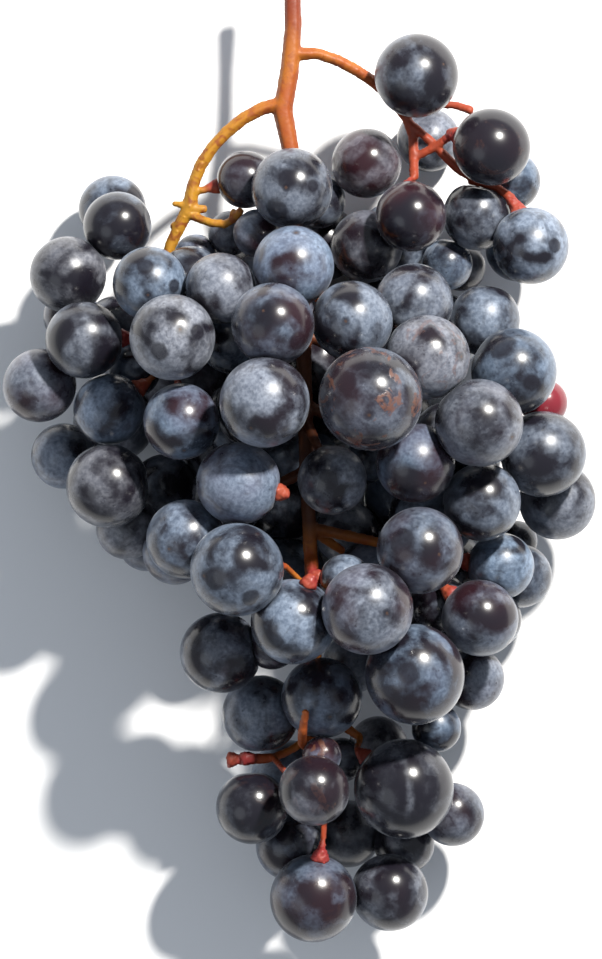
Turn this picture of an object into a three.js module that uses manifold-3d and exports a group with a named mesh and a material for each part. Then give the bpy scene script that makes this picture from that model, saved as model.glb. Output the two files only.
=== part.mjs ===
// A bunch of dark grapes lying on its back, as picked: the woody stem with its branches and stalks,
// and the berries in the sprays that hang together. Millimetres, +Z up. The stem runs along Y with its
// cut end at the top of the bunch, and the face of the bunch looks up.

import * as THREE from 'three';
import Module from 'manifold-3d';
import { mergeVertices } from 'three/addons/utils/BufferGeometryUtils.js';

const wasm = await Module();
wasm.setup();

// Driving dimensions
const pieceGap = 0.3;            // space between two pieces that touch on the real bunch
const pressed = 0.94;            // distance between two touching berries, as a share of their radii
const cornerSwell = 1.03;        // corners stand out so that the flats keep the true radius
const restingHeight = 0.95;      // height of a resting berry's middle, as a share of its radius
const stalkFlat = 0.965;         // depth of the flat where the stalk meets its berry, as a share
const shoulderHeight = 60;       // height of the topmost berries' middles
const edgeHeight = 21;           // height of the middles round the rim of the bunch
const backBerry = [15, 17.6];    // smallest and largest diameter of the berries on the back
const backInset = 2.5;           // how far the berries on the back stay inside the outline
const gapBridge = 3.6;           // slits narrower than twice this count as covered
const rimPoints = 20;            // places round a berry that must be covered
const stemRoom = 2.6;            // space kept round the main stem for its side branches
const touchSlack = 0.995;        // berries may press by this much more than usual
const stalkRadius = 0.65;        // a berry's stalk
const stalkShare = 0.93;         // a stalk may press this far into a berry that it passes
const stalkReach = 2.6;          // straight length of a stalk where it meets its berry
const mainSides = 6;             // sides of the main stem
const branchSides = 4;           // sides of the branches and necks
const sideSteps = 5;             // straight pieces of a side branch
const stalkSides = 3;            // sides of a stalk
const stalkSteps = 3;            // straight pieces of a stalk
const stalkSwells = [1.15, 1, 1, 1.2]; // a stalk's thickness at its points, before the cup
const stalkPoints = 4;           // bending points of a stalk before that
const stalkLongest = 15;         // a stalk that would be longer than this is left out
const stalkHeight = 25;          // berries that lie lower hang from their neighbours in this model
const cupRadius = 1.4;           // the swollen end of a stalk, at its berry
const fullCup = 6.5;             // berries of a smaller radius than this have a smaller cup
const sideRadius = 1.05;         // a side branch inside the bunch
const sidePoints = 8;            // bending points of a side branch
const sideReaches = [0.62, 0.5, 0.4, 0.3]; // how far it goes towards its spray, the first that is clear
const sideRise = 12;             // how far above its spray a side branch leaves the main stem
const sideTop = 60;              // and no further up than this
const taper = [1.15, 0.75];      // thickness of a side branch where it starts and ends
const sliver = 0.1;              // joins leave no edges shorter than this
const linkShare = 1.01;          // berries nearer than this share of their radii hang together
const firmTouch = 1;             // berries that share less volume than this are joined by a neck
const neckRadius = 1.5;
const firstOnTable = [6, 14];    // place of the first berry on the table
const mergeWithin = 1e-4;        // corners nearer than this are one
const neckStart = 0.5;           // how deep in a berry its neck starts, as a share of its radius

// How often the rules that place things are repeated
const seedOfDraws = 20417;
const easingSweeps = 500;
const springPull = 0.15;
const leanDrop = 6;
const leanStep = 0.1;
const settleRange = 9;
const backTries = 500;
const middleTries = 900;
const routeSweeps = 90;
const routeEasing = 0.3;
const routePush = 0.7;
const stalkDirections = 90;

// What speaks against a stalk's direction: a detour, a neighbour in the way, a place in view
const detour = 1.2;
const crowded = 0.5;
const inView = 1.5;

// Draws between 0 and 1 from a fixed seed
let drawState = seedOfDraws;
function draw() {
  drawState = (drawState * 1664525 + 1013904223) % 4294967296;
  return drawState / 4294967296;
}

// The body of the bunch: place along it, its middle line, half its width and how full it is
const sections = [
  [66, -2, 14, 0.36],
  [56, -1, 19, 0.5],
  [43, 1, 47, 0.78],
  [28, -2, 47, 0.92],
  [14, -2, 52, 1],
  [0, 2, 51, 1],
  [-14, 6, 40, 0.93],
  [-28, 12, 30, 0.82],
  [-42, 13, 24, 0.7],
  [-54, 12, 22, 0.58],
  [-66, 10, 22, 0.45],
  [-84, 10, 12, 0.2],
];

// The berries that the face of the bunch shows: place across, place along, diameter, and for some
// the height of the middle. Later rows lie nearer the eye.
const faceBerries = [
  [3.4, 24, 13, 18], [9.4, -10.6, 13, 14], [15.8, -53.6, 12, 21.4], [10.6, -37, 12, 16],
  [-27.5, -1.4, 13.4, 18], [-1.4, 5.7, 12, 18], [13.4, 3.8, 9, 20], [8.4, -56.4, 9, 5],
  [26, 68.8, 13, 6.2], [43.9, 46.6, 13, 12], [32.8, 43, 9.6, 8], [42.6, 60.3, 12, 15],
  [35.6, 53.2, 14, 22], [13.4, 47, 14.6, 24], [29.6, 43.4, 10.4, 18], [3.5, 56.3, 11.4, 19],
  [13.4, 63.7, 14.1, 25], [22.2, 52.8, 14.2, 33], [46.3, 47, 15.4, 27], [38.4, 66.8, 15.6, 29],
  [23.4, 81, 16.8, 30],
  [-21, 45.2, 8.6, 20], [-14, 49.6, 9, 22], [-8.6, 49.4, 9.6, 32], [-10.9, 60.2, 11.6, 27],
  [-22, 40.4, 13, 33], [-37.9, 54.7, 13.7, 11], [-36.7, 51.1, 13.8, 23], [-46, 33, 11.6, 13],
  [-37.5, 31.5, 11, 17], [-33.5, 22, 11, 24],
  [-15.8, 38.2, 14.2, 44], [-1.3, 42.6, 16.2, 45], [-1.6, 58.2, 16.2, 39], [-30, 39.2, 14.8, 38],
  [-46.6, 41.2, 15.4, 25],
  [-52.3, 19, 14.8, 26], [-38.2, 14.2, 14.4, 32], [-43.2, 28, 15.6, 34], [-23.6, 11.6, 15.4, 46],
  [-25.4, 28.4, 17.2, 49],
  [-47.6, 4.8, 13.2, 20], [-31, -12.6, 11.6, 12], [-34.6, -9.6, 12.8, 22], [-38.4, -1.2, 16.9, 34],
  [-25, -14.4, 13.2, 26], [-22.8, -11.8, 15.8, 38],
  [22.8, 35.5, 15.6, 39], [10.4, 31.6, 16.2, 50], [-5.4, 30.9, 16.6, 55], [37.1, 32, 14.3, 31],
  [49, 15.5, 9.6, 24.5], [42.8, 21.8, 17.2, 35], [25.3, 24.4, 17, 49],
  [43.8, -12.4, 8.4, 20], [51.8, -4.2, 15.6, 19], [44.4, -19.3, 12.8, 14],
  [48.6, 5.2, 17.4, 32], [23, 3.4, 16, 45], [38.4, -28, 12.4, 15], [40.3, -17.3, 13.5, 26],
  [36.3, -4.4, 15.6, 38],
  [35.6, 11.4, 17.6, 48],
  [28, -24.6, 12, 26], [23.9, -14, 17.4, 47], [34.8, -40, 12.8, 17],
  [36, -27.6, 15.4, 32], [27.4, -49.8, 10, 18], [22.9, -38.8, 20, 42],
  [-5.6, -32.5, 11, 30], [-7.9, -47, 15.6, 24], [-15.9, -34.6, 16.2, 27], [4.4, -43.6, 16.4, 38],
  [9, -20, 10.4, 38], [-12.2, -0.6, 16.6, 48], [6.4, 0, 13.8, 43], [-1.3, -28.2, 17, 46],
  [13.4, -25.6, 18.2, 53], [-12.5, -17.8, 18.6, 52], [-7, 15.4, 18, 59], [14, 16.1, 20.6, 59],
  [4.4, -54.2, 6.4, 33], [9.6, -71.5, 13.6, 10], [-2, -73.8, 13.8, 17], [-9.6, -65.8, 14.6, 25],
  [21, -73.4, 12.2, 12], [30.8, -67.4, 12.8, 16], [20.8, -61.9, 20.2, 34], [2.8, -62, 14.2, 32],
  [18, -83, 15.6, 19], [2.7, -84, 17.6, 24],
];

// Berries whose stalk is seen: place across, place along, and the way that the stalk leaves
const shownStalks = [
  [-1.3, -28.2, 0.35, 0.88, 0.3],
  [2.7, -84, 0.15, 0.93, 0.34],
  [-12.2, -0.6, 0.9, -0.2, 0.3],
];

// Places where the eye looks right through the bunch: across, along, radius
const openings = [
  [-15, 57, 3], [20.6, 61.5, 2], [27.6, 59, 1.6], [11, 56.6, 1.2], [-38.5, 42.6, 1], [-5.7, -38.6, 1.5],
  [12.5, -49.4, 1.2],
];

// Stems that are seen, each a list of [across, along, height, radius]. The stub has lost its berry.
const mainStem = [
  [-1.7, 108, 25, 1.95], [-1.7, 106, 25.2, 1.62], [-1.5, 96, 26, 1.55], [-1.4, 91, 26.4, 1.6],
  [-1.2, 86, 26.8, 2.05], [-2.4, 81, 27, 1.75], [-3.7, 76, 27.2, 2.1], [-2.8, 71, 27.4, 1.7],
  [-1.8, 66, 27.6, 1.6], [-1, 56, 28, 1.6], [0, 44, 29, 1.55], [0.6, 30, 30, 1.5],
  [1, 14, 31, 1.45], [1.6, -4, 31, 1.35], [2.4, -20, 30, 1.25], [3, -36, 25.4, 1.15],
  [3.6, -44, 21.6, 1.1], [3.8, -52, 20, 1], [4.4, -62, 18.6, 0.85],
];
const rightBranch = [
  [-1, 85.5, 26.8, 1.3], [4, 85.5, 26.4, 1.15], [10, 83, 25.4, 1.15], [15.6, 79.4, 23.4, 1.15],
  [20, 74.6, 21.6, 1.1], [22.4, 71.4, 21.2, 1.05], [22.8, 65, 22, 0.9], [23, 60.6, 24.4, 0.95],
];
const leftBranch = [
  [-3.4, 75.6, 27.2, 1.5], [-8.5, 74.2, 27.4, 1.25], [-12.2, 71.9, 27.4, 1.25],
  [-16.2, 68.3, 27.2, 1.2], [-19.5, 64, 27, 1.2], [-21.4, 59.5, 26.8, 1.2], [-22.4, 54, 26.6, 1.5],
  [-24.6, 50.2, 26.2, 1.2], [-26.6, 45.4, 25.6, 1.1], [-28, 39, 25, 1.05],
];
const seenStems = [
  rightBranch,
  leftBranch,
  [[22.4, 71.4, 21.4, 0.9], [27, 67.5, 22.6, 0.85], [31.6, 62.6, 22.6, 0.9], [34.6, 60.8, 22, 0.9]],
  [[23, 64.8, 22, 0.85], [28, 67.5, 23.2, 0.8], [31, 70, 25, 0.95]],
  [[20.6, 73.8, 21.6, 0.9], [29.5, 75.6, 22.6, 0.7], [34.6, 74.2, 24, 0.9]],
  [[34, 60.2, 21, 0.8], [40.4, 58.4, 23.6, 0.8], [43.6, 54.6, 25.4, 1.3]],
  [[-22.4, 53.4, 26.6, 0.95], [-18, 51.6, 28.4, 0.8], [-14.4, 51.4, 29.4, 0.8], [-11.8, 54, 32.6, 0.8]],
  [[-21.2, 57.8, 26.8, 0.7], [-18.6, 58.4, 26.8, 0.75], [-16.9, 59.2, 26.9, 1.1]],
  [[-22, 54.4, 27, 0.8], [-18.6, 54.4, 27, 0.75]],
  [[-22.4, 55, 26.6, 0.7], [-25.6, 55.5, 26.4, 0.6]],
  [[-24, 51.4, 26.4, 0.7], [-25.8, 51, 25, 0.65]],
  [[3.8, -50.4, 20, 0.8], [-4, -55.4, 22, 0.75], [-9.4, -56, 24.6, 1.2], [-11.6, -56, 24.8, 0.95],
    [-14, -56.2, 25, 0.7]],
];
const bareStub = [
  [3.8, -52.4, 20, 0.8], [0.8, -53.4, 30, 0.75], [0.4, -51, 38, 0.95], [1.2, -46, 41.2, 0.65],
];

// The sprays, each with a place on it
const sprays = {
  berries_right_shoulder_end: [23, 81, 29],
  berries_right_shoulder_back: [26, 68.8, 6],
  berries_right_shoulder_top: [34, 63, 22],
  berries_right_shoulder_low: [36, 48, 20],
  berries_crown: [-2, 56, 36],
  berries_left_shoulder_outer: [-43, 42, 20],
  berries_left_shoulder_inner: [-24, 36, 42],
  berries_left_side: [-44, 12, 26],
  berries_face_left: [-8, 20, 58],
  berries_face_right: [18, 24, 54],
  berries_right_side_upper: [41, 20, 34],
  berries_right_side_lower: [42, -4, 32],
  berries_left_flank: [-26, -10, 30],
  berries_face_middle: [4, -12, 46],
  berries_right_flank: [36, -22, 24],
  berries_lower_face: [10, -34, 46],
  berries_lower_left: [-11, -40, 26],
  berries_tail: [14, -60, 26],
  berries_tip: [8, -80, 18],
  berries_back_upper: [0, 30, 8],
  berries_back_middle: [2, 2, 8],
  berries_back_lower: [10, -32, 8],
};

// Values between two rows of a list sorted by a falling first value
function between(rows, at) {
  let k = 1;
  while (k < rows.length - 1 && rows[k][0] > at) k += 1;
  const share = THREE.MathUtils.clamp((rows[k - 1][0] - at) / (rows[k - 1][0] - rows[k][0]), 0, 1);
  return rows[k].map((value, i) => THREE.MathUtils.lerp(rows[k - 1][i], value, share));
}

// The height that the face of the bunch wants for a berry's middle
function faceHeight(x, y) {
  const [, middle, halfWidth, full] = between(sections, y);
  const aside = Math.min(1, Math.abs(x - middle) / halfWidth);
  return edgeHeight + (shoulderHeight - edgeHeight) * full * Math.sqrt(1 - aside * aside);
}

function makeBerry([x, y, diameter, height = faceHeight(x, y)]) {
  return { centre: new THREE.Vector3(x, y, height), radius: diameter / 2 };
}

function flatDistance(a, b) {
  return Math.hypot(a.centre.x - b.centre.x, a.centre.y - b.centre.y);
}

// How much higher one of two berries lies when they touch, or null when they pass each other
function stackStep(a, b) {
  const reach = pressed * (a.radius + b.radius);
  const apart = flatDistance(a, b);
  return apart < reach ? Math.sqrt(reach * reach - apart * apart) : null;
}

// Two berries one behind the other are eased apart until they only press, and none sinks into the table
function easeHeights(berries) {
  const wanted = berries.map((berry) => berry.centre.z);
  for (let sweep = 0; sweep < easingSweeps; sweep += 1) {
    const pull = springPull * (1 - sweep / easingSweeps);
    berries.forEach((berry, i) => {
      berry.centre.z += pull * (wanted[i] - berry.centre.z);
      for (let j = 0; j < i; j += 1) {
        const step = stackStep(berry, berries[j]);
        const lack = step === null ? 0 : step - (berry.centre.z - berries[j].centre.z);
        if (lack <= 0) continue;
        berry.centre.z += lack / 2;
        berries[j].centre.z -= lack / 2;
      }
    });
    berries.forEach((berry) => {
      berry.centre.z = Math.max(berry.centre.z, restingHeight * berry.radius);
    });
  }
}

function onRim(centre, radius, count) {
  return Array.from({ length: count }, (_, k) => {
    const turn = (2 * Math.PI * k) / count;
    return [centre.x + radius * Math.cos(turn), centre.y + radius * Math.sin(turn)];
  });
}

// A berry is behind the face when berries that lie higher cover it, and no opening shows it
function isBehind(berry, inset, face) {
  const shown = openings.some(([x, y, radius]) => (
    Math.hypot(x - berry.centre.x, y - berry.centre.y) < radius + berry.radius));
  const rim = onRim(berry.centre, berry.radius + gapBridge + inset, rimPoints);
  return !shown && rim.every(([x, y]) => face.some((other) => (
    other.centre.z > berry.centre.z
    && Math.hypot(x - other.centre.x, y - other.centre.y) < other.radius + gapBridge)));
}

const stemStretch = new THREE.Line3();
const nearest = new THREE.Vector3();

function distanceToStretch(point, from, to) {
  stemStretch.set(from, to).closestPointToPoint(point, true, nearest);
  return nearest.distanceTo(point);
}

function isFree(berry, berries, stretches, room) {
  return berries.every((other) => (
    other.centre.distanceTo(berry.centre) > touchSlack * pressed * (other.radius + berry.radius)))
    && stretches.every(({ from, to, radius }) => (
      distanceToStretch(berry.centre, from, to) > berry.radius + radius + room));
}

function drawnRadius() {
  return THREE.MathUtils.lerp(...backBerry, draw()) / 2;
}

// Berries on the table, each touching one that is there already
function growBack(face, stretches) {
  const radius = drawnRadius();
  const back = [{ centre: new THREE.Vector3(...firstOnTable, restingHeight * radius), radius }];
  for (let n = 0; n < backTries; n += 1) {
    const beside = back[Math.floor(draw() * back.length)];
    const berry = { radius: drawnRadius(), centre: beside.centre.clone() };
    const step = restingHeight * (berry.radius - beside.radius);
    const reach = Math.sqrt((pressed * (berry.radius + beside.radius)) ** 2 - step * step);
    const turn = 2 * Math.PI * draw();
    berry.centre.add(new THREE.Vector3(reach * Math.cos(turn), reach * Math.sin(turn), step));
    if (isBehind(berry, backInset, face) && isFree(berry, [...face, ...back], stretches, stemRoom)) {
      back.push(berry);
    }
  }
  return back;
}

// Berries let down onto those below, round the hollow that holds the stem
function fillMiddle(face, back, stretches) {
  const box = new THREE.Box3().setFromPoints(face.map((berry) => berry.centre));
  const middle = [];
  for (let n = 0; n < middleTries; n += 1) {
    const radius = drawnRadius();
    const x = THREE.MathUtils.lerp(box.min.x, box.max.x, draw());
    const y = THREE.MathUtils.lerp(box.min.y, box.max.y, draw());
    const berry = { radius, centre: new THREE.Vector3(x, y, restingHeight * radius) };
    const others = [...face, ...back, ...middle];
    others.sort((a, b) => a.centre.z - b.centre.z);
    others.forEach((other) => {
      const step = stackStep(berry, other);
      const touches = other.centre.distanceTo(berry.centre) < pressed * (other.radius + radius);
      if (touches) berry.centre.z = other.centre.z + step;
    });
    if (isBehind(berry, 0, face) && isFree(berry, others, stretches, stemRoom)) middle.push(berry);
  }
  return middle;
}

function press(a, b) {
  return a.centre.distanceTo(b.centre) < linkShare * (a.radius + b.radius);
}

// Berries low in the bunch first, each sinks a little until it presses on another
function leanTogether(berries, stretches) {
  const rising = [...berries].sort((a, b) => a.centre.z - b.centre.z);
  rising.forEach((berry) => {
    const others = berries.filter((other) => other !== berry);
    const start = berry.centre.z;
    const lowest = Math.max(restingHeight * berry.radius, start - leanDrop);
    while (berry.centre.z > lowest && !others.some((other) => press(berry, other))) {
      berry.centre.z -= leanStep;
    }
    const clear = stretches.every(({ from, to, radius }) => (
      distanceToStretch(berry.centre, from, to) > berry.radius + radius));
    if (!clear || !others.some((other) => press(berry, other))) berry.centre.z = start;
  });
}

// The sprays grow from their places, taking in turn the nearest berry that presses on one they hold
function gatherSprays(berries) {
  const places = Object.entries(sprays).map(([name, place]) => [name, new THREE.Vector3(...place)]);
  const held = [];
  const open = new Set(berries);
  const take = (berry, spray, holder) => {
    Object.assign(berry, { spray, holder });
    held.push(berry);
    open.delete(berry);
  };
  places.forEach(([name, place]) => {
    const nearer = (a, b) => (a.centre.distanceTo(place) < b.centre.distanceTo(place) ? a : b);
    take([...open].reduce(nearer), name, null);
  });
  const placeOf = Object.fromEntries(places);
  while (open.size > 0) {
    const offers = [...open].flatMap((berry) => held.filter((holder) => press(berry, holder))
      .map((holder) => ({ berry, holder, way: berry.centre.distanceTo(placeOf[holder.spray]) })));
    if (offers.length === 0) {
      offers.push(settle([...open][0], held));
    }
    const { berry, holder } = offers.reduce((a, b) => (a.way <= b.way ? a : b));
    take(berry, holder.spray, holder);
  }
}

// A berry that touches none that is held is moved down or up until it does, or else straight to one
function settle(berry, held) {
  const lowest = restingHeight * berry.radius;
  const start = berry.centre.z;
  for (let move = leanStep; move < settleRange; move += leanStep) {
    for (const height of [start - move, start + move]) {
      berry.centre.z = Math.max(height, lowest);
      const holder = held.find((other) => press(berry, other));
      if (holder) return { berry, holder };
    }
  }
  berry.centre.z = start;
  const gap = (other) => other.centre.distanceTo(berry.centre) - other.radius - berry.radius;
  const holder = held.reduce((a, b) => (gap(a) <= gap(b) ? a : b));
  const way = berry.centre.clone().sub(holder.centre).normalize();
  berry.centre.copy(holder.centre).addScaledVector(way, pressed * (berry.radius + holder.radius));
  return { berry, holder };
}

function isLinked(a, b) {
  return a.holder === b || b.holder === a;
}

// A line of points from one place to another, bent clear of the berries
function bendClear(from, to, count, radius, berries) {
  const points = Array.from({ length: count }, (_, k) => from.clone().lerp(to, k / (count - 1)));
  for (let sweep = 0; sweep < routeSweeps; sweep += 1) {
    for (let k = 1; k < count - 1; k += 1) {
      const point = points[k];
      const middle = points[k - 1].clone().add(points[k + 1]).multiplyScalar(0.5);
      point.lerp(middle, routeEasing);
      berries.forEach((berry) => {
        const lack = berry.radius + radius + pieceGap - point.distanceTo(berry.centre);
        if (lack <= 0) return;
        point.addScaledVector(point.clone().sub(berry.centre).normalize(), routePush * lack);
      });
    }
  }
  return points;
}

function toPoints(rows) {
  return rows.map(([x, y, z]) => new THREE.Vector3(x, y, z));
}

function makeStem(points, radii, sides, steps) {
  return { points, radii, sides, steps };
}

// A side branch runs from the main stem to the inner side of its spray, where it finds a clear way
function makeSideBranch(name, berries) {
  const mine = berries.filter((berry) => berry.spray === name);
  const middle = mine.reduce((sum, berry) => sum.add(berry.centre), new THREE.Vector3());
  middle.divideScalar(mine.length);
  const rows = mainStem.map(([x, y, z]) => [y, x, z]);
  const [y, x, z] = between(rows, Math.min(middle.y + sideRise, sideTop));
  const from = new THREE.Vector3(x, Math.min(y, middle.y + sideRise), z);
  const radii = Array.from({ length: sidePoints }, (_, k) => (
    sideRadius * THREE.MathUtils.lerp(...taper, k / (sidePoints - 1))));
  const ways = sideReaches.map((share) => {
    const to = from.clone().lerp(middle, share);
    const points = bendClear(from, to, sidePoints, sideRadius, berries);
    return makeStem(points, radii, branchSides, sideSteps);
  });
  return ways.find((way) => roomBeside(way, berries) > stalkShare);
}

// How near a stem comes to the middle of a berry at most, as a share of the berry's radius
function roomBeside(stem, berries) {
  return Math.min(...berries.flatMap((berry) => stretchesOf(stem).map(({ from, to }) => (
    distanceToStretch(berry.centre, from, to) / berry.radius))));
}

// Evenly spread directions
function spread(count) {
  const golden = Math.PI * (3 - Math.sqrt(5));
  return Array.from({ length: count }, (_, k) => {
    const height = 1 - (2 * k + 1) / count;
    const flat = Math.sqrt(1 - height * height);
    return new THREE.Vector3(flat * Math.cos(golden * k), flat * Math.sin(golden * k), height);
  });
}

// The way that a berry's stalk leaves it: towards its branch, where no neighbour is in the way
function stalkDirection(berry, anchor, berries) {
  const shown = shownStalks.find(([x, y]) => x === berry.centre.x && y === berry.centre.y);
  if (shown) return new THREE.Vector3(...shown.slice(2)).normalize();
  const wanted = anchor.clone().sub(berry.centre).normalize();
  const cost = (way) => {
    const foot = berry.centre.clone().addScaledVector(way, berry.radius + stalkReach);
    const crowding = berries.reduce((sum, other) => {
      const lack = other.radius + cupRadius - foot.distanceTo(other.centre);
      return other === berry ? sum : sum + Math.max(0, lack);
    }, 0);
    const shows = Math.max(0, way.z);
    return detour * (1 - way.dot(wanted)) + crowded * crowding + inView * shows;
  };
  return spread(stalkDirections).reduce((a, b) => (cost(a) <= cost(b) ? a : b));
}

function runsClear(points, berries, share) {
  return points.slice(1).every((to, k) => berries.every((berry) => (
    distanceToStretch(berry.centre, points[k], to) > share * berry.radius)));
}

// The place on the branches that is nearest to a berry
function nearestPlace(berry, branches) {
  const places = branches.flatMap(({ points }) => points.slice(2).map((to, k) => {
    distanceToStretch(berry.centre, points[k + 1], to);
    return nearest.clone();
  }));
  return places.reduce((a, b) => (
    a.distanceTo(berry.centre) <= b.distanceTo(berry.centre) ? a : b));
}

function makeStalk(berry, holders, berries) {
  const anchor = nearestPlace(berry, holders);
  if (anchor.distanceTo(berry.centre) > berry.radius + stalkLongest) return null;
  const way = stalkDirection(berry, anchor, berries);
  const others = berries.filter((other) => other !== berry);
  const foot = berry.centre.clone().addScaledVector(way, stalkFlat * berry.radius + pieceGap);
  const knee = foot.clone().addScaledVector(way, stalkReach);
  const bends = bendClear(anchor, knee, stalkPoints, stalkRadius, berries);
  const points = [...bends, foot];
  if (!runsClear(points, others, stalkShare) || !runsClear(bends, [berry], 1)) return null;
  berry.way = way;
  const cup = cupRadius * Math.min(1, berry.radius / fullCup);
  const radii = [...stalkSwells.map((swell) => swell * stalkRadius), cup];
  return { ...makeStem(points, radii, stalkSides, stalkSteps), berry };
}

// A closed tube through the points, as thick at each as its radius
function makeTube({ points, radii, sides, steps }) {
  const line = new THREE.CatmullRomCurve3(points, false, 'centripetal');
  const tube = new THREE.TubeGeometry(line, steps, 1, sides, false);
  const position = tube.attributes.position;
  const corner = new THREE.Vector3();
  for (let ring = 0; ring <= steps; ring += 1) {
    const middle = line.getPointAt(ring / steps);
    const along = line.getUtoTmapping(ring / steps) * (radii.length - 1);
    const before = Math.min(Math.floor(along), radii.length - 2);
    const radius = THREE.MathUtils.lerp(radii[before], radii[before + 1], along - before);
    for (let side = 0; side <= sides; side += 1) {
      const at = ring * (sides + 1) + side;
      corner.fromBufferAttribute(position, at).sub(middle).multiplyScalar(radius).add(middle);
      position.setXYZ(at, corner.x, corner.y, corner.z);
    }
  }
  const faces = [...tube.index.array];
  const last = steps * (sides + 1);
  for (let side = 1; side < sides - 1; side += 1) {
    faces.push(0, side, side + 1, last, last + side + 1, last + side);
  }
  tube.setIndex(faces);
  return tube;
}

function toSolid(geometry) {
  geometry.deleteAttribute('normal');
  geometry.deleteAttribute('uv');
  const merged = mergeVertices(geometry, mergeWithin);
  const vertProperties = new Float32Array(merged.attributes.position.array);
  const triVerts = new Uint32Array(merged.index.array);
  return new wasm.Manifold(new wasm.Mesh({ numProp: 3, vertProperties, triVerts }));
}

// The solids joined in one body, without slivers and loose scraps
function joined(solids) {
  const bodies = solids.reduce((all, solid) => all.add(solid)).simplify(sliver).decompose();
  return bodies.reduce((a, b) => (a.volume() >= b.volume() ? a : b));
}

function makeMesh(solid, name, material) {
  const { vertProperties, triVerts } = solid.getMesh();
  const geometry = new THREE.BufferGeometry();
  geometry.setAttribute('position', new THREE.BufferAttribute(vertProperties, 3));
  geometry.setIndex(new THREE.BufferAttribute(triVerts, 1));
  geometry.computeVertexNormals();
  const mesh = new THREE.Mesh(geometry, material);
  mesh.name = name;
  return mesh;
}

// The planes that flatten a berry: its neighbours, the stems beside it, the table and its own stalk
function pressingPlanes(berry, berries, stems) {
  const planes = [[new THREE.Vector3(0, 0, -1), berry.centre.z]];
  berries.forEach((other) => {
    const apart = other.centre.distanceTo(berry.centre);
    const near = cornerSwell * (berry.radius + other.radius) + pieceGap;
    if (other === berry || apart > near || isLinked(berry, other)) return;
    const share = (apart * apart + berry.radius ** 2 - other.radius ** 2) / (2 * apart);
    planes.push([other.centre.clone().sub(berry.centre).normalize(), share - pieceGap / 2]);
  });
  stems.forEach((stem) => {
    const own = stem.berry === berry;
    stretchesOf(stem).slice(0, own ? -2 : undefined).forEach(({ from, to, radius }) => {
      const apart = distanceToStretch(berry.centre, from, to);
      if (apart > cornerSwell * berry.radius + radius + pieceGap) return;
      planes.push([nearest.clone().sub(berry.centre).normalize(), apart - radius - pieceGap]);
    });
    if (own) planes.push([berry.way, stalkFlat * berry.radius]);
  });
  return planes;
}

// Straight pieces that follow a stem, each as thick as its thicker end
function stretchesOf({ points, radii, steps }) {
  const line = new THREE.CatmullRomCurve3(points, false, 'centripetal');
  const places = Array.from({ length: steps + 1 }, (_, k) => line.getPointAt(k / steps));
  const share = (k) => line.getUtoTmapping(k / steps) * (radii.length - 1);
  const radiusAt = (k) => Math.max(radii[Math.floor(share(k))], radii[Math.ceil(share(k))]);
  return places.slice(1).map((to, k) => (
    { from: places[k], to, radius: Math.max(radiusAt(k), radiusAt(k + 1)) }));
}

const ballCorners = mergeVertices(new THREE.IcosahedronGeometry(1, 1).deleteAttribute('uv')
  .deleteAttribute('normal'), mergeWithin);

// A ball with its flats turned at random, or with a flat side down on the table
function berryGeometry(berry, planes) {
  const ball = ballCorners.clone();
  const turn = new THREE.Quaternion();
  if (berry.centre.z < berry.radius) {
    turn.setFromUnitVectors(faceMiddle(ballCorners), new THREE.Vector3(0, 0, -1));
  } else {
    turn.setFromEuler(new THREE.Euler(2 * Math.PI * draw(), 2 * Math.PI * draw(), 2 * Math.PI * draw()));
  }
  const position = ball.attributes.position;
  const ray = new THREE.Vector3();
  for (let k = 0; k < position.count; k += 1) {
    ray.fromBufferAttribute(position, k).normalize().applyQuaternion(turn);
    const limits = planes.map(([way, depth]) => (ray.dot(way) > 0 ? depth / ray.dot(way) : Infinity));
    ray.multiplyScalar(Math.min(cornerSwell * berry.radius, ...limits)).add(berry.centre);
    position.setXYZ(k, ray.x, ray.y, ray.z);
  }
  return ball;
}

// Where a berry only just touches the one that holds it, a short neck joins them
function neckGeometry({ centre, radius, holder }) {
  const way = holder.centre.clone().sub(centre);
  const length = way.length();
  way.normalize();
  const from = neckStart * radius;
  const to = length - neckStart * holder.radius;
  const neck = new THREE.CylinderGeometry(neckRadius, neckRadius, to - from, branchSides);
  neck.applyQuaternion(new THREE.Quaternion().setFromUnitVectors(new THREE.Vector3(0, 1, 0), way));
  const middle = centre.clone().addScaledVector(way, (from + to) / 2);
  return neck.translate(middle.x, middle.y, middle.z);
}

function faceMiddle(geometry) {
  const corners = [0, 1, 2].map((k) => (
    new THREE.Vector3().fromBufferAttribute(geometry.attributes.position, geometry.index.getX(k))));
  return corners[0].add(corners[1]).add(corners[2]).normalize();
}

const skin = new THREE.MeshStandardMaterial({ color: '#2b2a38', roughness: 0.42, metalness: 0 });
const wood = new THREE.MeshStandardMaterial({ color: '#b5622c', roughness: 0.6, metalness: 0 });

const face = faceBerries.map(makeBerry);
easeHeights(face);
const givenStems = [mainStem, ...seenStems, bareStub].map((rows, k) => makeStem(
  toPoints(rows),
  rows.map((row) => row[3]),
  k === 0 ? mainSides : branchSides,
  rows.length + 1,
));
const givenStretches = givenStems.flatMap(stretchesOf);
const back = growBack(face, givenStretches);
const middle = fillMiddle(face, back, givenStretches);
const berries = [...face, ...back, ...middle];
leanTogether(berries, givenStretches);
gatherSprays(berries);

const branched = Object.keys(sprays).filter((name) => !/shoulder|crown/.test(name));
const sideBranches = branched.map((name) => makeSideBranch(name, berries)).filter(Boolean);
const branches = [...givenStems, ...sideBranches];
const holders = [...givenStems.slice(0, -1), ...sideBranches];
const stalked = face.filter((berry) => berry.centre.z > stalkHeight);
const stalks = stalked.map((berry) => makeStalk(berry, holders, berries)).filter(Boolean);
const stems = [...branches, ...stalks];

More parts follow.
